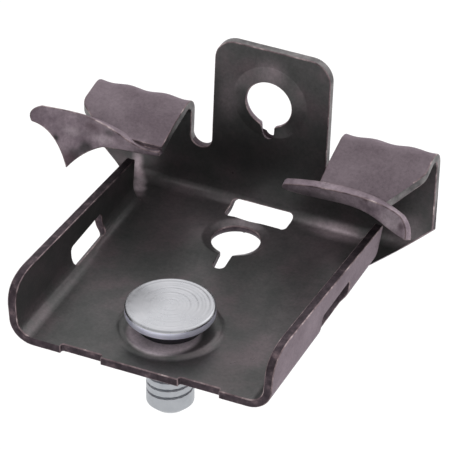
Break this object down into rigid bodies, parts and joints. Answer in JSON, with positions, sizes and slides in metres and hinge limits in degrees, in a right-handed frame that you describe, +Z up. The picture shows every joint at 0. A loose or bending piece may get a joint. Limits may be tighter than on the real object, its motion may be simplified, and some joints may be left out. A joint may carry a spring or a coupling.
{
  "type": "flange clip",
  "caption": "Folded spring steel clip that is hammered onto the edge of a beam's flange: toothed hooks grip the flange, and a headed threaded stud hangs below the plate.",
  "frame": {"origin": "on the stud's axis, at the underside of the base plate", "axes": "+Z up along the stud's axis to its head, +Y back to the upright wall, +X to the right as seen from the mouth"},
  "size_m": [0.0554, 0.0423, 0.0363],
  "materials": {
    "phosphated_steel": "dark phosphated spring steel, mottled satin",
    "plated_steel": "bright zinc plate over a turned surface"
  },
  "bodies": {
    "root": {"clip_body": "phosphated_steel", "threaded_stud": "plated_steel"}
  },
  "joints": []
}
